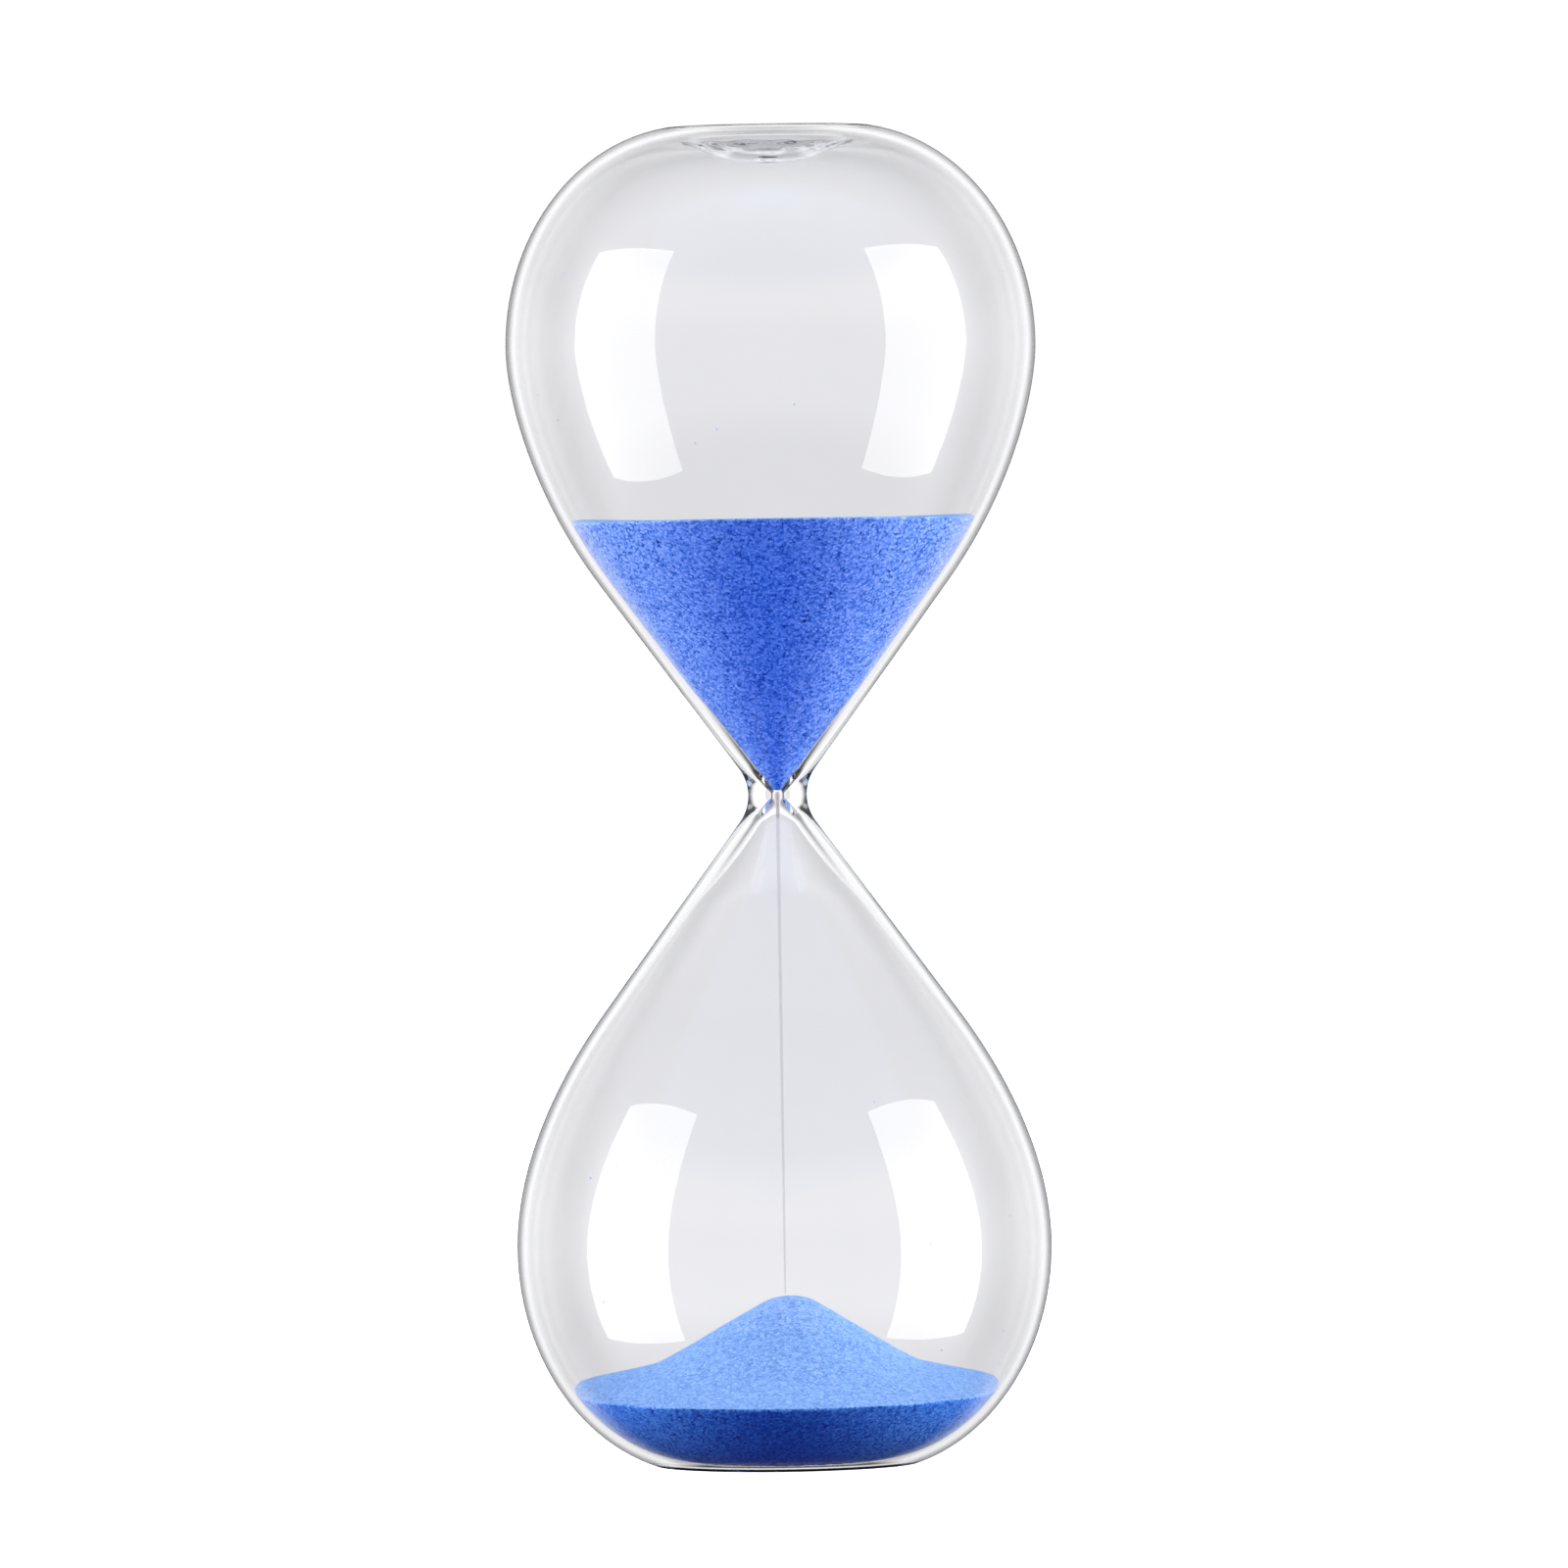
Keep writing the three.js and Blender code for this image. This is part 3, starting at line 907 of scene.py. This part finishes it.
class HOURGLASS_OT_studio(bpy.types.Operator):
    """Set up the floor, the lamps, the backdrop's light and the camera"""

    bl_idname = "hourglass.studio"
    bl_label = "Studio"

    def execute(self, context):
        scene = context.scene
        studio = scene.hourglass_studio
        self.world(scene)
        self.floor(scene)
        self.lamps(studio)
        self.camera(scene, studio)
        scene.view_settings.view_transform = "Standard"
        # Thick glass at the neck sends a ray round many times before it lets it out.
        scene.cycles.max_bounces = 32
        scene.cycles.glossy_bounces = 16
        scene.cycles.transmission_bounces = 24
        return {"FINISHED"}

    def world(self, scene):
        """White to the lens, a dim blue fill on the sand, and separate levels for what the glass
        shows through itself and what it mirrors, which give it its bright and dark edges."""
        world = bpy.data.worlds.new("studio_world")
        scene.world = world
        world.use_nodes = True
        tree = world.node_tree
        tree.nodes.clear()
        path = add(tree, "ShaderNodeLightPath").outputs
        towards = add(tree, "ShaderNodeTexCoord").outputs["Generated"]
        behind = add(
            tree, "ShaderNodeVectorMath", {0: towards, 1: (0, 1, 0)}, operation="DOT_PRODUCT"
        )
        turn = add(tree, "ShaderNodeMath", {0: behind.outputs["Value"]}, operation="ARCCOSINE")
        share = add(tree, "ShaderNodeMath", {0: turn.outputs[0], 1: math.pi}, operation="DIVIDE")
        through = self.levels(tree, share.outputs[0], SEEN_THROUGH)
        height = add(tree, "ShaderNodeSeparateXYZ", {0: towards}).outputs["Z"]
        through = self.beyond(tree, height, STEEP_FROM, STEEP_TO, through, OVERHEAD)
        through = self.beyond(tree, height, -STEEP_FROM, -STEEP_TO, through, UNDERFOOT)
        mirrored = self.levels(tree, share.outputs[0], SEEN_REFLECTED)
        ceiling = self.levels(tree, share.outputs[0], CEILING_REFLECTED)
        mirrored = self.beyond(tree, height, CEILING_FROM, CEILING_TO, mirrored, ceiling)
        mirrored = self.beyond(tree, height, TABLE_FROM, TABLE_TO, mirrored, TABLE_REFLECTED)
        shade = AMBIENT
        for switch, other in (
            (path["Is Glossy Ray"], mirrored),
            (path["Is Transmission Ray"], through),
            (path["Is Camera Ray"], BACKDROP),
        ):
            shade = add(
                tree, "ShaderNodeMix", {0: switch, 6: shade, 7: other}, data_type="RGBA"
            ).outputs[2]
        shine = add(tree, "ShaderNodeBackground", {"Color": shade})
        add(tree, "ShaderNodeOutputWorld", {"Surface": shine.outputs[0]})

    def beyond(self, tree, value, start, end, near, far):
        """Goes from one level to another as a value passes from start to end."""
        part = add(
            tree, "ShaderNodeMapRange", {"Value": value, "From Min": start, "From Max": end}
        )
        mix = add(
            tree,
            "ShaderNodeMix",
            {0: part.outputs[0], 6: near, 7: far},
            data_type="RGBA",
        )
        return mix.outputs[2]

    def levels(self, tree, share, table):
        """Brightness by the angle from the middle of the backdrop, in degrees."""
        ramp = add(tree, "ShaderNodeValToRGB", {"Fac": share})
        stops = ramp.color_ramp.elements
        stops[0].color = (table[0][1],) * 3 + (1,)
        stops[1].color = (table[-1][1],) * 3 + (1,)
        for degrees, level in table[1:-1]:
            stops.new(degrees / 180).color = (level, level, level, 1)
        return ramp.outputs["Color"]

    def floor(self, scene):
        """A wide pale floor that runs on into the white backdrop. The lens sees its paint, and
        the sand gets the blue light of FLOOR_LIT from it instead."""
        deselect_all()
        bpy.ops.mesh.primitive_circle_add(vertices=64, radius=8, fill_type="NGON")
        floor = bpy.context.object
        floor.name = "studio_floor"
        floor.visible_glossy = False
        floor.visible_transmission = False
        material, tree = new_material("studio_floor_paint")
        path = add(tree, "ShaderNodeLightPath").outputs
        where = add(tree, "ShaderNodeTexCoord").outputs["Object"]
        across = add(tree, "ShaderNodeSeparateXYZ", {0: where}).outputs["X"]
        aside = add(tree, "ShaderNodeMath", {0: across}, operation="ABSOLUTE")
        reach = FLOOR_LIT[-1][0]
        spread = add(
            tree, "ShaderNodeMath", {0: aside.outputs[0], 1: reach}, operation="DIVIDE"
        )
        lift = add(tree, "ShaderNodeValToRGB", {"Fac": spread.outputs[0]})
        stops = lift.color_ramp.elements
        stops[0].color, stops[1].color = FLOOR_LIT[0][1], FLOOR_LIT[-1][1]
        for at, level in FLOOR_LIT[1:-1]:
            stops.new(at / reach).color = level
        bounce = add(tree, "ShaderNodeEmission", {"Color": lift.outputs["Color"]})
        glow = add(tree, "ShaderNodeEmission", {"Strength": 1.0})
        paint = add(tree, "ShaderNodeBsdfDiffuse", {"Color": scene.hourglass_colours.floor})
        seen = add(tree, "ShaderNodeAddShader", {0: glow.outputs[0], 1: paint.outputs[0]})
        pick = add(
            tree,
            "ShaderNodeMixShader",
            {0: path["Is Camera Ray"], 1: bounce.outputs[0], 2: seen.outputs[0]},
        )
        add(tree, "ShaderNodeOutputMaterial", {"Surface": pick.outputs[0]})
        material.cycles.emission_sampling = "NONE"
        floor.data.materials.append(material)

    def lamp(self, name, place, facing, width, height, radiance):
        """An area lamp at a place. facing points out of its back, away from what it lights."""
        data = bpy.data.lights.new(name, "AREA")
        data.shape = "RECTANGLE"
        data.size, data.size_y = width, height
        data.energy = radiance * math.pi * width * height
        lamp = bpy.data.objects.new(name, data)
        bpy.context.scene.collection.objects.link(lamp)
        lamp.location = place
        lamp.rotation_mode = "QUATERNION"
        lamp.rotation_quaternion = facing.to_track_quat("Z", "Y")
        lamp.visible_camera = False
        return lamp

    def lamps(self, studio):
        """Two tall softboxes beside the camera show in the glass and don't light the sand. The
        sand gets its light from two lamps at the sides and one overhead, so that its front stays
        deep blue."""
        middle = Vector((0, 0, studio.softbox_middle))
        for side, name in ((-1, "left"), (1, "right")):
            place = side * studio.softbox_azimuth
            face = side * studio.softbox_facing
            shown = self.lamp(
                f"softbox_{name}",
                middle
                + studio.softbox_distance * Vector((math.sin(place), -math.cos(place), 0)),
                Vector((math.sin(face), -math.cos(face), 0)),
                studio.softbox_width,
                studio.softbox_height,
                SOFTBOX,
            )
            shown.visible_diffuse = False
            shown.visible_transmission = False
            edge = studio.side_azimuth_left if side < 0 else studio.side_azimuth_right
            out = Vector((math.sin(edge), -math.cos(edge), 0))
            lit = self.lamp(
                f"side_light_{name}",
                middle + SIDE_LIGHT_DISTANCE * out,
                out,
                SIDE_LIGHT_WIDTH,
                SIDE_LIGHT_HEIGHT,
                SIDE_LIGHT[name],
            )
            lit.visible_glossy = False
            lit.visible_transmission = False
        up = Vector((0, 0, 1))
        over = self.lamp(
            "top_light", TOP_LIGHT_HEIGHT * up, up, TOP_LIGHT_SIZE, TOP_LIGHT_SIZE, TOP_LIGHT
        )
        over.visible_glossy = False
        over.visible_transmission = False

    def camera(self, scene, studio):
        """A long lens, nearly level, turned a little about its line of sight."""
        data = bpy.data.cameras.new("camera")
        data.lens = studio.lens
        data.sensor_width = 36
        data.clip_start, data.clip_end = 0.05, 50
        camera = bpy.data.objects.new("camera", data)
        scene.collection.objects.link(camera)
        camera.location = (studio.camera_aside, -studio.camera_distance, studio.camera_height)
        camera.rotation_mode = "QUATERNION"
        turn = Matrix.Rotation(math.pi / 2 - studio.camera_pitch, 4, "X")
        roll = Matrix.Rotation(-studio.camera_roll, 4, "Z")
        camera.rotation_quaternion = (turn @ roll).to_quaternion()
        scene.camera = camera


class HOURGLASS_PT_panel(bpy.types.Panel):
    """The hourglass's pieces, in the order they are made"""

    bl_idname = "HOURGLASS_PT_panel"
    bl_label = "Hourglass"
    bl_space_type = "VIEW_3D"
    bl_region_type = "UI"
    bl_category = "Hourglass"

    def draw(self, context):
        for operator in OPERATORS:
            self.layout.operator(operator.bl_idname)
        for name in GROUPS:
            group = getattr(context.scene, name)
            box = self.layout.box()
            for field in group.bl_rna.properties:
                if not field.is_readonly and field.identifier != "name":
                    box.prop(group, field.identifier)


OPERATORS = (
    HOURGLASS_OT_studio,
    HOURGLASS_OT_glass,
    HOURGLASS_OT_upper_sand,
    HOURGLASS_OT_lower_sand,
    HOURGLASS_OT_falling_sand,
    HOURGLASS_OT_clinging_grains,
)
GROUPS = {
    "hourglass_lower": LowerBulbShape,
    "hourglass_upper": UpperBulbShape,
    "hourglass_glass": GlassShape,
    "hourglass_sand": SandShape,
    "hourglass_colours": Colours,
    "hourglass_studio": Studio,
}


def register():
    """Registers the classes and puts their settings on the scene."""
    for cls in (*GROUPS.values(), *OPERATORS, HOURGLASS_PT_panel):
        bpy.utils.register_class(cls)
    for name, group in GROUPS.items():
        setattr(bpy.types.Scene, name, PointerProperty(type=group))


def unregister():
    """Takes the settings off the scene and unregisters the classes."""
    for name in GROUPS:
        delattr(bpy.types.Scene, name)
    for cls in reversed((*GROUPS.values(), *OPERATORS, HOURGLASS_PT_panel)):
        bpy.utils.unregister_class(cls)


def main():
    """Makes every piece and the studio."""
    register()
    bpy.ops.hourglass.studio()
    bpy.ops.hourglass.glass()
    bpy.ops.hourglass.upper_sand()
    bpy.ops.hourglass.lower_sand()
    bpy.ops.hourglass.falling_sand()
    bpy.ops.hourglass.clinging_grains()


if __name__ == "__main__":
    main()
